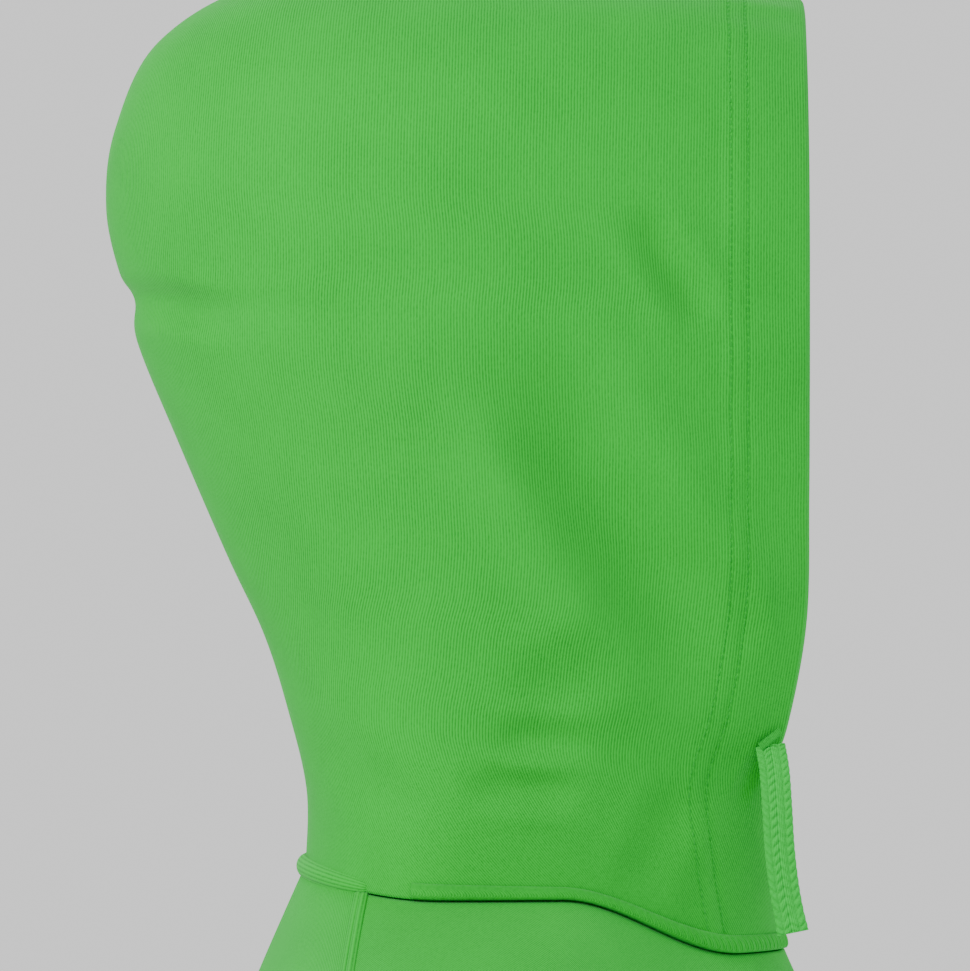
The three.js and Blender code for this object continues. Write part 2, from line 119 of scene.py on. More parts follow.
def grid_faces(high, wide, loop, start=0, flip=False):
    """Corner numbers of a grid's squares, joined round where it loops."""
    i = np.arange(wide if loop else wide - 1)
    j = np.arange(high - 1)[:, None]
    a, b = start + j * wide + i, start + j * wide + (i + 1) % wide
    quads = np.stack([a, b, b + wide, a + wide], -1).reshape(-1, 4)
    return quads[:, ::-1] if flip else quads


def normals_of(points, loop):
    """Outward directions on a grid: its across differences crossed with its upward ones."""
    if loop:
        across = np.roll(points, -1, 1) - np.roll(points, 1, 1)
    else:
        across = np.gradient(points, axis=1)
    return unit(np.cross(np.gradient(points, axis=0), across))


def lengths_of(points):
    """A UV in millimetres: the run along each row, and the columns' mean run upwards."""
    across = np.linalg.norm(np.diff(points, axis=1), axis=-1)
    upward = np.linalg.norm(np.diff(points, axis=0), axis=-1).mean(1)
    u = np.concatenate([np.zeros((len(points), 1)), np.cumsum(across, 1)], 1)
    v = np.concatenate([[0], np.cumsum(upward)])
    return np.stack([u, np.broadcast_to(v[:, None], u.shape)], -1)


def shell(name, outer, thick, loop=False, normals=None):
    """A closed wall: the outer grid, the same moved in along its normals by the thickness, and the rims."""
    high, wide = outer.shape[:2]
    outwards = normals_of(outer, loop) if normals is None else normals
    inner = outer - outwards * np.broadcast_to(thick, (high, wide))[..., None]
    uv = lengths_of(outer)
    points = np.stack([outer, inner])
    number = np.arange(2 * high * wide).reshape(2, high, wide)
    faces = [grid_faces(high, wide, loop), grid_faces(high, wide, loop, high * wide, True)]
    i = np.arange(wide if loop else wide - 1)
    k = (i + 1) % wide
    faces.append(np.stack([number[1, 0, i], number[1, 0, k], number[0, 0, k], number[0, 0, i]], -1))
    faces.append(np.stack([number[0, -1, i], number[0, -1, k], number[1, -1, k], number[1, -1, i]], -1))
    if not loop:
        low, up = number[:, :-1], number[:, 1:]
        faces.append(np.stack([low[0, :, 0], up[0, :, 0], up[1, :, 0], low[1, :, 0]], -1))
        faces.append(np.stack([low[1, :, -1], up[1, :, -1], up[0, :, -1], low[0, :, -1]], -1))
    faces = np.concatenate(faces)
    flat = points.reshape(-1, 3)
    corners = flat[faces]
    volume = (corners[:, 0] * np.cross(corners[:, 1], corners[:, 2])
              + corners[:, 0] * np.cross(corners[:, 2], corners[:, 3])).sum()
    if volume < 0:
        faces = faces[:, ::-1]
    return make_mesh(name, points, faces.tolist(), np.stack([uv, uv]))


def tube(name, path, across, section):
    """A section of (across, out) offsets carried along a path, closed by flat fans at both ends."""
    along = unit(np.gradient(path, axis=0))
    out = unit(np.cross(along, across))
    side = np.cross(out, along)
    rings = path[:, None] + section[..., :1] * side[:, None] + section[..., 1:] * out[:, None]
    high, wide = rings.shape[:2]
    top = (high - 1) * wide
    points = np.concatenate([rings.reshape(-1, 3), path[[0, -1]]])
    i = np.arange(wide)
    k = (i + 1) % wide
    start = np.stack([np.full(wide, top + wide), k, i], -1)
    end = np.stack([np.full(wide, top + wide + 1), top + i, top + k], -1)
    run = np.concatenate([[0], np.cumsum(np.linalg.norm(np.diff(path, axis=0), axis=1))])
    around = np.linspace(0, 1, wide) * 4 * np.abs(section).max()
    uv = np.stack(np.broadcast_arrays(around, run[:, None]), -1).reshape(-1, 2)
    faces = [*grid_faces(high, wide, True).tolist(), *start.tolist(), *end.tolist()]
    return faced_out(make_mesh(name, points, faces, np.concatenate([uv, np.zeros((2, 2))])))


def cord_section(steps, rows):
    """A flat rounded section. Its faces swell by a sine that slants up and down by turns across four columns,
    dip between the columns and at the tie, and its width flares past the tie."""
    angle = np.linspace(0, 2 * np.pi, steps, endpoint=False)
    across = np.sign(np.cos(angle)) * np.abs(np.cos(angle)) ** 0.8
    out = np.sign(np.sin(angle)) * np.abs(np.sin(angle)) ** 0.5
    place = (across + 1) * 2
    fold = np.abs((place % 2) - 1)
    run = np.linspace(0, CORD_LENGTH, rows)[:, None]
    stitch = np.abs(np.sin(np.pi * (run / CORD_STITCH + fold * 0.8)))
    groove = 1 - 0.7 * np.exp(-(np.abs((place + 0.5) % 1 - 0.5) / 0.13) ** 2)
    relief = 0.42 + 0.58 * stitch ** 0.8 * groove
    tie = 1 - 0.3 * np.exp(-(((run - CORD_TIE) / 1.2) ** 2))
    wide = CORD_WIDTH / 2 * (1 + 0.05 * smooth((run - CORD_TIE + 2) / 9)) * (0.97 + 0.03 * stitch)
    return np.stack([across * wide, out * CORD_THICK / 2 * 1.25 * relief * tie], -1)


def node(tree, kind, links=None, **settings):
    """Adds a node, sets its inputs or properties by name, and links sockets into it."""
    made = tree.nodes.new(kind)
    for name, value in settings.items():
        if name in made.inputs:
            made.inputs[name].default_value = value
        else:
            setattr(made, name, value)
    for name, socket in (links or {}).items():
        tree.links.new(socket, made.inputs[name])
    return made


def linear(code):
    """An sRGB hex colour as linear red, green, blue and alpha."""
    parts = np.array([int(code[k:k + 2], 16) / 255 for k in (0, 2, 4)])
    return (*np.where(parts <= 0.04045, parts / 12.92, ((parts + 0.055) / 1.055) ** 2.4), 1.0)


def cloth_material(name, light, dark, wale, depth):
    """Matt cloth with a faint nap: ridges along V at the wale's spacing in metres, uneven yarn of about a
    millimetre, and soft clouds of tone of a few centimetres."""
    material = bpy.data.materials.new(name)
    material.use_nodes = True
    tree = material.node_tree
    shader = tree.nodes["Principled BSDF"]
    shader.inputs["Roughness"].default_value = 0.88
    shader.inputs["Sheen Weight"].default_value = 0.06
    shader.inputs["Sheen Roughness"].default_value = 0.45
    shader.inputs["Specular IOR Level"].default_value = 0.12
    where = node(tree, "ShaderNodeUVMap", uv_map="cloth")
    ridges = node(tree, "ShaderNodeTexWave", {"Vector": where.outputs["UV"]}, wave_type="BANDS",
                  bands_direction="X", Scale=2 * np.pi / 20 / wale, Distortion=0.35, Detail=1.0)
    place = node(tree, "ShaderNodeTexCoord")
    yarn = node(tree, "ShaderNodeTexNoise", {"Vector": place.outputs["Object"]}, Scale=900.0, Detail=3.0)
    cloud = node(tree, "ShaderNodeTexNoise", {"Vector": place.outputs["Object"]}, Scale=28.0, Detail=3.0)
    height = node(tree, "ShaderNodeMath", {0: ridges.outputs["Fac"], 1: yarn.outputs["Fac"]}, operation="ADD")
    blend = node(tree, "ShaderNodeMath", {0: height.outputs[0]}, operation="MULTIPLY")
    blend.inputs[1].default_value = 0.5
    soft = node(tree, "ShaderNodeMath", {0: cloud.outputs["Fac"]}, operation="MULTIPLY")
    soft.inputs[1].default_value = 0.3
    tone = node(tree, "ShaderNodeMath", {0: blend.outputs[0], 1: soft.outputs[0]}, operation="ADD")
    ramp = node(tree, "ShaderNodeValToRGB", {"Fac": tone.outputs[0]})
    ramp.color_ramp.elements[0].position = 0.25
    ramp.color_ramp.elements[0].color = linear(dark)
    ramp.color_ramp.elements[1].position = 0.75
    ramp.color_ramp.elements[1].color = linear(light)
    tree.links.new(ramp.outputs["Color"], shader.inputs["Base Color"])
    bump = node(tree, "ShaderNodeBump", {"Height": height.outputs[0]}, Strength=0.5, Distance=depth)
    tree.links.new(bump.outputs["Normal"], shader.inputs["Normal"])
    return material


def dress(piece, material):
    """Gives a piece its material."""
    piece.data.materials.clear()
    piece.data.materials.append(material)
    return piece


cord_knit = cloth_material("flat_knitted_cotton_cord", "22b83e", "0b8423", 0.0004, 0.00005)
CORD_ROWS = 220
for side, sign in (("right", 1), ("left", -1)):
    route = spline(CORD_ROUTE, np.linspace(0, len(CORD_ROUTE) - 1, CORD_ROWS)) * (sign, 1, 1)
    across = np.broadcast_to(np.array((0.0, 1.0, 0.0)), route.shape)
    piece = tube(f"cord_{side}", route, across, cord_section(120, CORD_ROWS))
    dress(piece, cord_knit)
    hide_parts(f"drawcord_{side}")

# ---- hood ----
# Two panels of brushed sweatshirt jersey, sewn by one seam over the head. The face edge is turned in and held
# by two rows of stitches; the cloth falls in a long slanting fold from the crown to the chin.
HOOD_NAMES = "edge_y edge_z edge seam_y seam_z half at front".split()
HOOD = np.array([
    (-161, -22, 0, 24, 8, 88, 0.708, 0.5), (-156, 10, 24, 23.5, 38, 86, 0.66, 0.6),
    (-153, 38, 40, 31, 70, 85, 0.6, 0.75), (-161, 64, 52, 40, 98, 88, 0.56, 0.9),
    (-167.5, 104, 64, 54, 128, 94, 0.52, 1), (-168, 150, 74, 73, 172, 100, 0.5, 1),
    (-168, 192, 79, 88.5, 210, 104, 0.5, 1), (-168, 208, 80, 89.5, 226, 105, 0.5, 1),
    (-168, 222, 80, 95.5, 237, 105, 0.5, 1), (-168, 248, 79, 100.5, 262, 104, 0.5, 1),
    (-168, 278, 74, 97, 292, 99, 0.48, 1), (-168, 304, 63, 80, 326, 88, 0.43, 1),
    (-168, 324, 47, 40, 348, 68, 0.37, 1), (-168, 336, 29, -28, 354, 43, 0.32, 1),
    (-167, 341.5, 14, -92, 350, 21, 0.28, 1), (-163, 344, 0, -132, 347, 0, 0.28, 1),
])
BODY_NAMES = "side front back half chest spine widest seam power".split()
BODY = np.array([
    (-600, -600, -600, 172, -168, 58, -55, 90, 2.3), (-572, -572, -572, 190, -188, 76, -55, 90, 2.3),
    (-480, -480, -480, 192, -192, 76, -55, 90, 2.3), (-360, -360, -360, 193, -195, 77, -52, 90, 2.3),
    (-235, -245, -235, 197, -197, 84, -45, 90, 2.3), (-150, -175, -160, 203, -194, 82, -25, 94, 2.1),
    (-58, -112, -95, 203, -187, 66, -2, 100, 1.9), (-27, -62, -38, 143, -177, 44, -15, 112, 1.85),
    (0, -22, 8, 88, -161, 24, -30, 124, 2),
])
NECK = len(BODY) - 1
# Soft troughs on the hood's side, from one point to another in Y and Z, with their width and depth.
HOOD_FOLDS = {
    "right": [
        (-66, 192, -128, 90, 20, 9.5), (-104, 256, -128, 218, 8, 4), (-52, 61, -84, 59, 7, 3),
        (-42, 43, -78, 41, 7, 3), (94, 230, 48, 216, 7, 3.4), (-149, 53, -140, 36, 3, 1.4),
        (20, 60, -20, 30, 10, 2.4), (-118, 40, -104, 4, 9, 2), (48, 150, 20, 96, 14, 2.2),
        (-96, 96, -60, 72, 12, 1.8), (-140, 122, -146, 96, 6, 1.6),
    ],
    "left": [
        (-56, 204, -122, 92, 20, 5.4), (-100, 250, -128, 222, 9, 2.2), (-48, 66, -86, 60, 8, 2.4),
        (-36, 46, -74, 40, 7, 1.8), (88, 226, 54, 216, 7, 2), (-149, 53, -138, 36, 3, 1.4),
        (30, 64, -14, 34, 10, 2.2), (-112, 42, -100, 8, 9, 2.2), (44, 158, 24, 100, 13, 2.6),
    ],
}
NECK_ROWS = 3
FOOT_LIFT = 0.6
HALF_SEAM = 0.15
CLOTH = 2.0
HEM = 4.2
HEM_WIDTH = 32.0
STITCH_ROWS = (24.0, 30.5)
STITCH_PITCH = 3.0
THREAD_LIFT = 0.15


def drop(y, ring):
    """The neckline's height: falls in a soft step to the front and as a square to the back."""
    side, front, back, _, chest, spine, widest = ring[:7]
    ahead = smooth(((widest - y) / (widest - chest) - 0.34) / 0.52)
    behind = (y - widest) / (spine - widest)
    return np.where(y < widest, side + (front - side) * ahead, side + (back - side) * behind ** 2)


def hood_grid(u, row, folds):
    """Rows from face edge to centre seam: a power curve out to the widest place, then a quarter ellipse back.
    The lowest rows follow the neckline, and the folds draw the side in."""
    at = {name: spline(HOOD[:, k], row) for k, name in enumerate(HOOD_NAMES)}
    share = (1 - np.cos(np.pi * u)) / 2
    fore = np.clip(share / at["at"], 0, 1)
    aft = np.clip((share - at["at"]) / (1 - at["at"]), 0, 1)
    rise = at["edge"] + (at["half"] - at["edge"]) * (1 - (1 - fore) ** 2) ** at["front"]
    half = np.where(share < at["at"], rise, at["half"] * np.sqrt(1 - aft * aft))
    y = at["edge_y"] + (at["seam_y"] - at["edge_y"]) * share
    z = at["edge_z"] + (at["seam_z"] - at["edge_z"]) * share
    foot_y = HOOD[0, 0] + (HOOD[0, 3] - HOOD[0, 0]) * share
    foot_z = HOOD[0, 1] + (HOOD[0, 4] - HOOD[0, 1]) * share
    z = z + (drop(foot_y, BODY[NECK]) - foot_z) * np.clip(1 - row / NECK_ROWS, 0, 1) ** 2 + FOOT_LIFT
    half = half - creases(y, z, folds) * smooth(half / 60)
    return np.stack([-np.maximum(half, 0) - HALF_SEAM, y, z], -1)


def creases(y, z, folds):
    """The sum of soft troughs: a bell across each, a low ridge along both sides, fading past its ends."""
    depth = np.zeros_like(y)
    for y0, z0, y1, z1, wide, deep in folds:
        long = np.hypot(y1 - y0, z1 - z0)
        along = ((y - y0) * (y1 - y0) + (z - z0) * (z1 - z0)) / long ** 2
        across = ((y - y0) * (z1 - z0) - (z - z0) * (y1 - y0)) / long
        ridge = 0.35 * np.exp(-((np.abs(across) / wide - 1.5) / 0.6) ** 2)
        depth += deep * (np.exp(-((across / wide) ** 2)) - ridge) * np.exp(-((2 * along - 1) ** 4))
    return depth


def mirror(points, side):
    """The wearer's left side is the right side's mirror image."""
    return points if side == "right" else points * (-1, 1, 1)


def stitches(name, points, along, long=2.2, wide=0.5):
    """Short thread capsules: six-sided lozenges at given points, lying along given directions."""
    along = unit(along)
    out = unit(np.cross(along, (0.0, 0.0, 1.0)) + 1e-6)
    third = np.cross(along, out)
    turn = np.linspace(0, 2 * np.pi, 6, endpoint=False)[None, :, None]
    ring = np.cos(turn) * out[:, None] * wide / 2 + np.sin(turn) * third[:, None] * wide / 2
    stations = [(-0.5, 0.25), (-0.3, 1.0), (0.3, 1.0), (0.5, 0.25)]
    body = np.concatenate([points[:, None] + along[:, None] * long * s + ring * w for s, w in stations], 1)
    one = [grid_faces(4, 6, True), np.array([[0, 5, 4, 3], [0, 3, 2, 1], [18, 19, 20, 21], [18, 21, 22, 23]])]
    one = np.concatenate(one)
    faces = (np.arange(len(points))[:, None, None] * 24 + one).reshape(-1, 4)
    return make_mesh(name, body, faces.tolist(), np.zeros((body.size // 3, 2)))


fleece = cloth_material("brushed_sweatshirt_jersey", "10ac2c", "067f1b", 0.00115, 0.0003)
thread = cloth_material("polyester_sewing_thread", "1db238", "0c8c25", 0.0004, 0.0001)
hood_u = np.concatenate([np.linspace(0, 0.25, 44, endpoint=False), np.linspace(0.25, 1, 80)])
hood_rows = np.linspace(0, len(HOOD) - 1, 210)
for side in ("right", "left"):
    u, row = np.meshgrid(hood_u, hood_rows)
    base = hood_grid(u, row, HOOD_FOLDS[side])
    out = normals_of(base, False)
    out[..., 0] = np.minimum(out[..., 0], 0)
    run = base[..., 1] - base[:, :1, 1]
    inside_hem = smooth((HEM_WIDTH + 1.5 - run) / 2)
    dip = sum(0.4 * np.exp(-(((run - place) / 1.1) ** 2)) for place in STITCH_ROWS)
    edge_roll = 1.6 * (1 - smooth(run / 3)) ** 2
    climb = lengths_of(base)[..., 1]
    ripple = 0.35 * np.sin(climb / 9 + 2 * np.sin(climb / 31)) * inside_hem
    seam_groove = 0.9 * np.exp(-((run[:, -1:] - run) / 2.2) ** 2)
    relief = 0.7 * inside_hem - dip - edge_roll + ripple * smooth(run / 8) - seam_groove
    outer = base + out * relief[..., None]
    outer[..., 0] = np.minimum(outer[..., 0], -HALF_SEAM)
    thick = CLOTH + (HEM - CLOTH) * inside_hem - 0.8 * edge_roll
    piece = shell(f"hood_panel_{side}", mirror(outer, side), thick, normals=mirror(out, side))
    dress(piece, fleece)
    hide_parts(f"hood_{side}")
    spots, ways = [], []
    for place in STITCH_ROWS:
        j = np.arange(len(hood_rows) - 3)
        column = np.array([np.interp(place, run[k], np.arange(run.shape[1])) for k in j])
        low = np.floor(column).astype(int)
        line = outer[j, low] + (outer[j, low + 1] - outer[j, low]) * (column - low)[:, None]
        line = line + out[j, low] * THREAD_LIFT
        total = np.concatenate([[0], np.cumsum(np.linalg.norm(np.diff(line, axis=0), axis=1))])
        at = np.arange(STITCH_PITCH, total[-1] - STITCH_PITCH, STITCH_PITCH)
        spots.append(np.stack([np.interp(at, total, line[:, k]) for k in range(3)], -1))
        ways.append(np.gradient(spots[-1], axis=0))
    spots, ways = np.concatenate(spots), np.concatenate(ways)
    seam = stitches(f"hem_stitches_{side}", mirror(spots, side), mirror(ways, side))
    dress(seam, thread)

# The cord's hole: a slanting worked buttonhole, a bar of close satin stitches above the cord.
for side, sign in (("right", 1), ("left", -1)):
    middle = np.array((-59.5, -153.5, 60.0))
    count = 16
    step = np.linspace(-1, 1, count)[:, None]
    points = (middle + step * np.array((0.4, -3.6, 2.8))) * (sign, 1, 1)
    ways = np.broadcast_to(np.array((0.15 * sign, 0.55, 0.8)), points.shape)
    bar = stitches(f"cord_hole_{side}", points, ways, long=3.4, wide=0.75)
    dress(bar, thread)

# ---- neck seam ----
# A folded tape of the same jersey covers the seam in front, ribbed by its stitching. Behind, the back panel's
# top stands in a soft roll along the seam.
for side in ("right", "left"):
    u, row = np.meshgrid(np.linspace(0.05, 0.68, 260), np.linspace(0.01, 0.27, 16))
    base = hood_grid(u, row, HOOD_FOLDS[side])
    out = normals_of(base, False)
    across = np.linspace(-1, 1, 16)[:, None]
    rib = 0.22 * np.sin(2 * np.pi * lengths_of(base)[..., 0] / 3.1)
    height = 1.1 + 1.3 * np.sqrt(1 - 0.92 * across ** 2) + rib * (1 - across ** 4)
    piece = shell(f"neck_tape_{side}", mirror(base + out * height[..., None], side), 1.4,
                  normals=mirror(out, side))
    dress(piece, fleece)
    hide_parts(f"neck_band_{side}")
u = np.linspace(0.755, 1, 90)
half_line = hood_grid(u, np.full(90, 0.12), [])
line = np.concatenate([half_line, (half_line * (-1, 1, 1))[::-1][1:]])
out = unit(line * (1, 1, 0) - (0, -45, 0))
swell = np.sin(np.pi * np.linspace(0, 1, len(line)))[:, None] ** 0.16
turn = np.linspace(0, 2 * np.pi, 28, endpoint=False)
ring = np.stack([np.cos(turn) * 4.6, np.sin(turn) * 4.2], -1)[None] * swell[..., None]
upright = np.broadcast_to((0.0, 0.0, 1.0), line.shape)
roll = tube("back_neck_roll", line - out * 1.6 - (0, 0, 1.0), upright, ring)
dress(roll, fleece)

# ---- fronts and back ----
# Three panels of the same jersey, joined at the sides and shoulders; each front is sewn to the zip.
ARMPIT, SHOULDER = 4, 6
ARM_FRONT, ARM_BACK = 26, 38
OPENING = 6
SEAM_ANGLE = 0.05
# Soft troughs in space: two ends in X, Y and Z, with the width and depth.
BODY_FOLDS = [
    (-190, -90, -225, -90, -190, -250, 13, 5), (-185, -100, -190, -70, -190, -200, 11, 3.6),
    (190, -90, -228, 84, -190, -256, 13, 5), (186, -100, -192, 76, -190, -206, 11, 3.2),
    (-150, -150, -130, -110, -185, -180, 12, 2.4), (150, -150, -126, 104, -185, -176, 12, 2.6),
    (-170, 50, -230, -80, 82, -262, 14, 5), (170, 50, -226, 92, 82, -254, 14, 4.6),
    (-60, 80, -150, 60, 82, -160, 16, 3), (-120, -180, -520, -20, -190, -548, 13, 4),
    (124, -180, -526, 30, -190, -550, 13, 4.4), (-140, 60, -536, 130, 62, -542, 13, 5),
    (-188, -60, -400, -150, -150, -440, 14, 4), (186, -60, -410, 152, -150, -446, 14, 3.6),
    (-60, 76, -420, 110, 74, -460, 15, 3.4), (-90, 40, -40, -130, 50, -90, 10, 2.4),
    (-100, -150, -60, -130, -168, -110, 9, 2), (96, -150, -62, 128, -168, -108, 9, 2),
]


def body_grid(angle, row):
    """Superellipse rings, their angle running from centre front over the wearer's right. Each falls to its
    centre heights, by a soft step in front and by the cosine squared behind."""
    at = {name: spline(BODY[:, k], row) for k, name in enumerate(BODY_NAMES)}
    sine, cosine = np.sin(np.radians(angle)), np.cos(np.radians(angle))
    corner = 2 / at["power"]
    reach = np.where(cosine > 0, at["chest"], at["spine"])
    ahead = (at["front"] - at["side"]) * smooth((cosine - 0.34) / 0.52)
    fall = np.where(cosine > 0, ahead, (at["back"] - at["side"]) * cosine ** 2)
    x = -np.sign(sine) * at["half"] * np.abs(sine) ** corner
    y = at["widest"] + (reach - at["widest"]) * np.abs(cosine) ** corner
    return np.stack([x, y, at["side"] + fall], -1)


def folded(points, normals, folds, scale=1.0):
    """Points moved in along their normals by troughs, each a bell about its line and deepest half way."""
    depth = np.zeros(points.shape[:-1])
    for x0, y0, z0, x1, y1, z1, wide, deep in folds:
        start, run = np.array((x0, y0, z0)), np.array((x1 - x0, y1 - y0, z1 - z0))
        share = np.clip(((points - start) @ run) / (run @ run), 0, 1)
        away = np.linalg.norm(points - start - share[..., None] * run, axis=-1)
        depth += deep * np.sin(np.pi * (0.12 + 0.76 * share)) * np.exp(-((away / wide) ** 2))
    return points - normals * (depth * scale)[..., None]


def armhole_share(row):
    """0 at the armpit and the shoulder's tip, 1 half way, as a half circle."""
    share = np.clip((row - ARMPIT) / (SHOULDER - ARMPIT), 0, 1)
    return 2 * np.sqrt(share * (1 - share))


def angle_at(distance, row):
    """The ring angle whose point is a distance from the centre plane."""
    half, power = spline(BODY[:, 3], row), spline(BODY[:, 8], row)
    return np.degrees(np.arcsin((distance / half) ** (power / 2)))


def panel(name, low, high, columns, node_name):
    """A body panel between two edge angles, on rows bunched where the armhole turns."""
    rows = np.concatenate([np.linspace(0, ARMPIT, 80, endpoint=False),
                           ARMPIT + 1 - np.cos(np.linspace(0.12, np.pi, 40)), np.linspace(6.02, NECK, 40)])
    u, row = np.meshgrid(np.linspace(0, 1, columns), rows)
    angle = low(row) + (high(row) - low(row)) * u
    points = body_grid(angle, row)
    out = unit(np.cross(body_grid(angle, row + 0.01) - body_grid(angle, row - 0.01),
                        body_grid(angle + 0.2, row) - body_grid(angle - 0.2, row)))
    made = shell(name, folded(points, out, BODY_FOLDS), CLOTH, normals=out)
    dress(made, fleece)
    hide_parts(node_name)
    return made


def seam_angle(row):
    return spline(BODY[:, 7], row)


def front_side(row):
    return seam_angle(row) - ARM_FRONT * armhole_share(row) - SEAM_ANGLE


def back_side(row):
    return seam_angle(row) + ARM_BACK * armhole_share(row) + SEAM_ANGLE


panel("front_panel_right", lambda row: angle_at(OPENING, row), front_side, 90,
      "front_right")
panel("front_panel_left", lambda row: 360 - front_side(row), lambda row: 360 - angle_at(OPENING, row), 90,
      "front_left")
panel("back_panel", back_side, lambda row: 360 - back_side(row), 150, "back")
# The shoulder seams: the allowance is pressed back and topstitched, so two soft ridges stand up.
for side in ("right", "left"):
    for number, shift in enumerate((-1.1, 1.1)):
        row = np.linspace(SHOULDER + 0.02, NECK - 0.02, 90)
        line = body_grid(seam_angle(row) + shift, row)
        turn = np.linspace(0, 2 * np.pi, 12, endpoint=False)
        ring = np.broadcast_to(np.stack([np.cos(turn) * 1.9, np.sin(turn) * 1.3], -1), (90, 12, 2))
        backwards = np.broadcast_to((0.0, 1.0, 0.0), line.shape)
        ridge = tube(f"shoulder_ridge_{side}_{number}", mirror(line, side), backwards, ring)
        dress(ridge, fleece)

# ---- sleeves and cuffs ----
# Set-in sleeves of the same jersey, creased at the elbow and gathered into doubled cuffs of 2 by 1 rib.
ARM = np.array([
    (-277, -20, -268, 74, 78), (-291, -18, -338, 67, 72), (-303, -18, -415, 61, 66),
    (-311, -32, -495, 57, 60), (-316, -50, -565, 53, 55), (-318, -62, -604, 42, 44),
    (-319, -65, -614, 38, 40),
])
ARM_FOLDS = [
    (-250, -60, -300, -310, -90, -330, 12, 5), (-245, 30, -320, -330, 40, -350, 13, 5),
    (-350, -60, -420, -300, -84, -400, 11, 5), (-255, -50, -430, -300, -88, -440, 10, 4.6),
    (-300, 40, -420, -360, 0, -450, 12, 5), (-270, 20, -480, -330, 26, -500, 11, 4.6),
    (-360, -60, -510, -310, -92, -520, 10, 4.6), (-265, -60, -560, -330, -100, -566, 9, 5),
    (-350, -10, -560, -300, 6, -572, 9, 5), (-262, -80, -590, -320, -108, -594, 7, 3.6),
    (-230, 50, -180, -300, 50, -240, 14, 4), (-240, -90, -170, -300, -90, -230, 14, 4),
]
RIB = 3.0
RIB_DEPTH = 0.55
CUFF = 64
WRIST = 33
SEAM_GAP = 0.3
# How steeply a sleeve's head falls as it leaves the armhole, with more at the shoulder and more at the armpit,
# and how strongly its curve holds to the armhole and to the arm.
HEAD_FALL, SHOULDER_FALL, ARMPIT_FALL = 0.38, 0.47, 0.72
HOLD_ARMHOLE, HOLD_ARM = 0.8, 0.75


def arm_ring(turn, row):
    """Ellipses square to the arm's centreline, turn 0 outwards and 90 in front."""
    centre = spline(ARM[:, :3], row)
    axis = unit(spline(ARM[:, :3], row + 0.1) - spline(ARM[:, :3], row - 0.1))
    ahead = unit(np.array((0.0, -1.0, 0.0)) + axis * axis[..., 1:2])
    outwards = unit(np.cross(axis, ahead))
    across, deep = spline(ARM[:, 3], row)[..., None], spline(ARM[:, 4], row)[..., None]
    angle = np.radians(turn)[..., None]
    return centre + outwards * across * np.cos(angle) + ahead * deep * np.sin(angle)


def sleeve_grid(turn, place):
    """A cubic from the armhole out to the arm's first ring up to place 1, then one row of the arm each."""
    swing = np.sin(np.radians(turn))
    row = ARMPIT + (SHOULDER - ARMPIT) * (1 + np.cos(np.radians(turn))) / 2
    start = body_grid(seam_angle(row) - swing * np.where(swing > 0, ARM_FRONT, ARM_BACK), row)
    end = arm_ring(turn, np.zeros_like(turn))
    top, low = ((1 + np.cos(np.radians(turn))) / 2) ** 4, ((1 - np.cos(np.radians(turn))) / 2) ** 4
    fall = -HEAD_FALL - SHOULDER_FALL * top - ARMPIT_FALL * low
    leave = unit(np.stack([-np.ones_like(low), np.zeros_like(low), fall], -1))
    arrive = unit(arm_ring(turn, np.full_like(turn, 0.2)) - end)
    reach = np.linalg.norm(end - start, axis=-1, keepdims=True)
    t = np.clip(place, 0, 1)[..., None]
    p, q = t * t, t ** 3
    head = (start + leave * SEAM_GAP) * (2 * q - 3 * p + 1) + end * (3 * p - 2 * q)
    head = head + leave * reach * HOLD_ARMHOLE * (q - 2 * p + t) + arrive * reach * HOLD_ARM * (q - p)
    return np.where(place[..., None] < 1, head, arm_ring(turn, np.maximum(place - 1, 0)))


rib_knit = cloth_material("doubled_rib_knit", "1cae36", "0a8021", 0.0016, 0.0003)
for side, phase in (("right", 0.0), ("left", 0.7)):
    turn, place = np.meshgrid(np.arange(0, 360, 3.0), np.linspace(0, len(ARM), 180))
    points = sleeve_grid(turn, place)
    out = normals_of(points, True)
    middle = points.mean(1, keepdims=True)
    out = out * np.where((out * (points - middle)).sum(-1, keepdims=True).mean() < 0, -1, 1)
    near_cuff = smooth((place - 6.1) / 0.4) * smooth((6.97 - place) / 0.25)
    gathers = 1.3 * np.sin(np.radians(turn) * 17 + phase) * near_cuff
    outer = folded(points, out, ARM_FOLDS, 1 + 0.15 * phase) + out * gathers[..., None]
    piece = shell(f"sleeve_panel_{side}", mirror(outer, side), CLOTH, True, mirror(out, side))
    dress(piece, fleece)
    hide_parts(f"sleeve_{side}")
    turn, share = np.meshgrid(np.arange(0, 360, 1.0), np.linspace(0, 1, 20))
    last = len(ARM) - 1
    centre, axis = ARM[last, :3], unit(ARM[last, :3] - spline(ARM[:, :3], last - 0.1))
    ring = arm_ring(turn, np.full_like(turn, last))
    grip = 1 + (WRIST / ARM[last, 3] - 1) * smooth(share * 2)
    points = centre + (ring - centre) * grip[..., None] + axis * (SEAM_GAP + CUFF * share)[..., None]
    out = unit(ring - centre)
    wales = RIB_DEPTH * np.cos(np.radians(turn) * 45)
    ends = 1.2 * (1 - np.sqrt(1 - np.abs(2 * share - 1) ** 24 * 0.96))
    piece = shell(f"cuff_rib_{side}", mirror(points + out * (wales - ends)[..., None], side), RIB, True,
                  mirror(out, side))
    dress(piece, rib_knit)
    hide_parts(f"cuff_{side}")

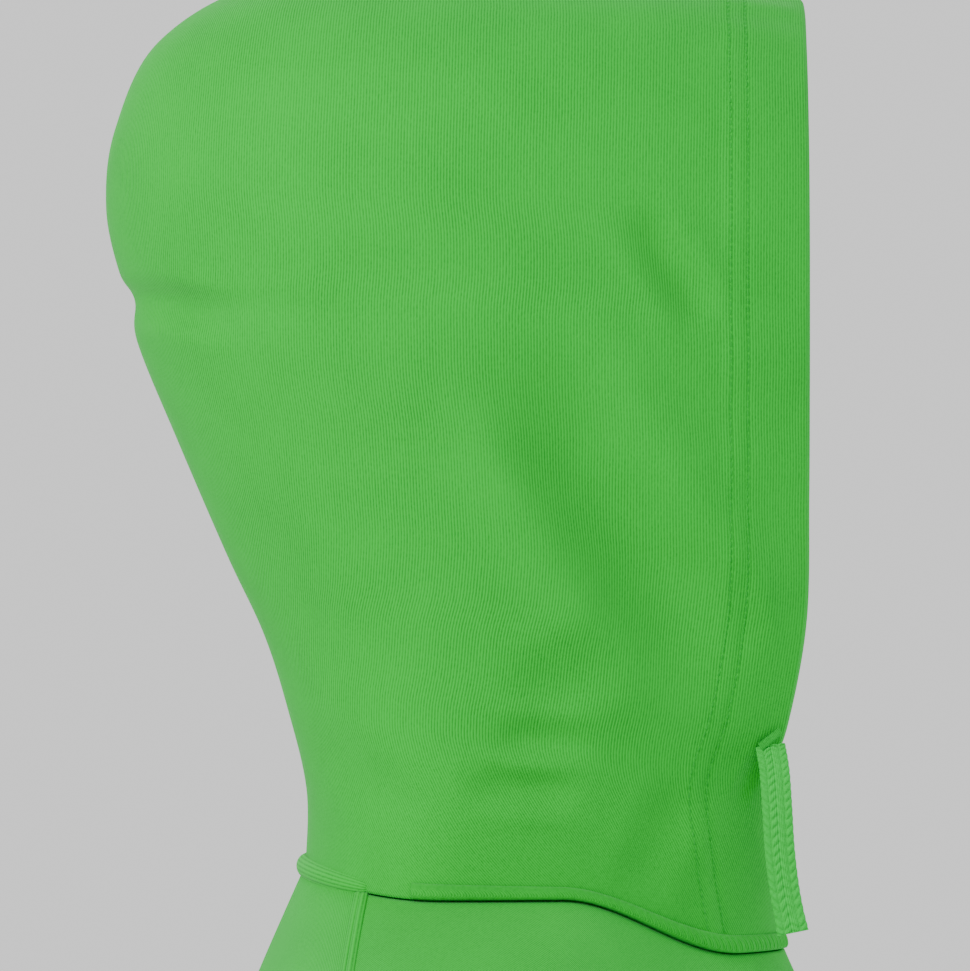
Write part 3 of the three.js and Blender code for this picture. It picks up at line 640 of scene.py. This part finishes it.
# ---- hem band ----
# The same doubled rib, one piece, cut shorter than the body and stretched to it. It is open in front, where
# the zip runs through.
BAND = 60
RIB_PITCH = 5.2
BAND_MIDDLE = -55
BAND_GRIP = 0.05
edge = float(angle_at(OPENING, 0))
u, share = np.meshgrid(np.linspace(0, 1, 900), np.linspace(1, 0, 14))
top = body_grid(edge + (360 - 2 * edge) * u, np.zeros_like(u))
grip = 1 - BAND_GRIP * smooth((1 - share) * 1.6)
x = np.where(np.abs(top[..., 0]) < 3 * OPENING, top[..., 0], top[..., 0] * grip)
y = BAND_MIDDLE + (top[..., 1] - BAND_MIDDLE) * grip
points = np.stack([x, y, top[..., 2] - SEAM_GAP - BAND * (1 - share)], -1)
out = unit((points - (0, BAND_MIDDLE, 0)) * (1, 1, 0))
wales = RIB_DEPTH * np.cos(2 * np.pi * lengths_of(top)[..., 0] / RIB_PITCH)
band = shell("hem_band_rib", points + out * wales[..., None], RIB, normals=out)
dress(band, rib_knit)
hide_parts("hem_band")

# ---- zip ----
# Moulded teeth in two interlocked rows on woven tape, dyed to match, with an enamelled slider and pull.
TAPE_BEHIND, TAPE_THICK = 1.3, 0.8
tape_weave = cloth_material("woven_polyester_tape", "0f7a25", "075a16", 0.0006, 0.0001)
enamel = bpy.data.materials.new("green_enamelled_zinc")
enamel.use_nodes = True
coat = enamel.node_tree.nodes["Principled BSDF"]
coat.inputs["Roughness"].default_value = 0.35
coat.inputs["Coat Weight"].default_value = 0.3
chips = node(enamel.node_tree, "ShaderNodeTexNoise", Scale=400.0, Detail=4.0)
shade = node(enamel.node_tree, "ShaderNodeValToRGB", {"Fac": chips.outputs["Fac"]})
shade.color_ramp.elements[0].color = linear("0b6a1d")
shade.color_ramp.elements[1].color = linear("14862b")
enamel.node_tree.links.new(shade.outputs["Color"], coat.inputs["Base Color"])
row = np.linspace(0, NECK - 0.15, 500)
centre = body_grid(np.zeros_like(row), row)
below = np.linspace(58, 0.5, 40)
foot_grip = 1 - BAND_GRIP * smooth(below / BAND * 1.6)
foot_y = BAND_MIDDLE + (centre[0, 1] - BAND_MIDDLE) * foot_grip
foot = np.stack([np.zeros(40), foot_y, centre[0, 2] - below], -1)
centre = np.concatenate([foot, centre])
run = np.concatenate([[0], np.cumsum(np.linalg.norm(np.diff(centre, axis=0), axis=1))])
at = np.arange(2, run[-1] - 1, 1.25)
spine = np.stack([np.interp(at, run, centre[:, k]) for k in range(3)], -1)
along = unit(np.gradient(spine, axis=0))
out = np.cross((1.0, 0.0, 0.0), along)
out = out * np.where(out[:, 1:2] > 0, -1, 1)
side_of = np.where(np.arange(len(at)) % 2 == 0, 1.0, -1.0)[:, None]
corner = np.array([(a, b, c) for a in (-1, 1) for b in (-1, 1) for c in (-1, 1)], float)
size = np.array((1.45, 0.95, 0.5))
cross = np.array((1.0, 0.0, 0.0))
offset = corner * size
teeth = (spine - out * 1.4)[:, None] + cross * (offset[None, :, :1] + side_of[:, None] * 0.75) \
    + out[:, None] * offset[None, :, 1:2] + along[:, None] * offset[None, :, 2:]
cube = np.array([[0, 1, 3, 2], [4, 6, 7, 5], [0, 4, 5, 1], [2, 3, 7, 6], [0, 2, 6, 4], [1, 5, 7, 3]])
faces = (np.arange(len(at))[:, None, None] * 8 + cube).reshape(-1, 4)
chain = faced_out(make_mesh("zip_teeth", teeth, faces.tolist(), np.zeros((teeth.size // 3, 2))))
dress(chain, enamel)
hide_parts("zip_chain")
for side in ("right", "left"):
    u, k = np.meshgrid(np.linspace(0, 1, 10), np.arange(0, len(centre), 4))
    points = centre[k] + np.stack([-(2.3 + 5.2 * u), np.zeros_like(u), np.zeros_like(u)], -1)
    tape_out = unit(np.cross(np.gradient(points, axis=0), np.gradient(points, axis=1)))
    tape_out = tape_out * np.where(tape_out[..., 1:2] > 0, -1, 1)
    tape = shell(f"zip_tape_cloth_{side}", mirror(points - tape_out * TAPE_BEHIND, side), TAPE_THICK,
                 normals=mirror(tape_out, side))
    dress(tape, tape_weave)
    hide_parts(f"zip_tape_{side}")
for name in ("zip_slider", "pull_tab"):
    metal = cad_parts[name]
    metal.data.materials.clear()
    metal.data.materials.append(enamel)

# ---- floor and light ----
floor_mesh = bpy.data.meshes.new("floor")
floor_mesh.from_pydata([(-4, -4, -0.75), (4, -4, -0.75), (4, 4, -0.75), (-4, 4, -0.75)], [], [(0, 1, 2, 3)])
floor = bpy.data.objects.new("floor", floor_mesh)
bpy.context.scene.collection.objects.link(floor)
paint = bpy.data.materials.new("pale_floor")
paint.use_nodes = True
paint.node_tree.nodes["Principled BSDF"].inputs["Base Color"].default_value = linear("eeeeec")
floor_mesh.materials.append(paint)
world = bpy.data.worlds.new("studio")
bpy.context.scene.world = world
world.use_nodes = True
world.node_tree.nodes["Background"].inputs["Color"].default_value = (1, 1, 1, 1)
world.node_tree.nodes["Background"].inputs["Strength"].default_value = 1.0
for name, place, size, power in (("key", (-1.6, 1.5, 1.3), 0.7, 60), ("fill", (-2.4, -0.5, 0.4), 1.4, 10),
                                 ("back", (1.8, 0.6, 1.4), 1.2, 22), ("front", (0.6, -2.2, 0.8), 1.2, 22)):
    lamp = bpy.data.objects.new(name, bpy.data.lights.new(name, "AREA"))
    lamp.data.size = size
    lamp.data.energy = power
    lamp.location = place
    lamp.rotation_euler = (Vector((0, -0.03, 0.1)) - Vector(place)).to_track_quat("-Z", "Y").to_euler()
    bpy.context.scene.collection.objects.link(lamp)
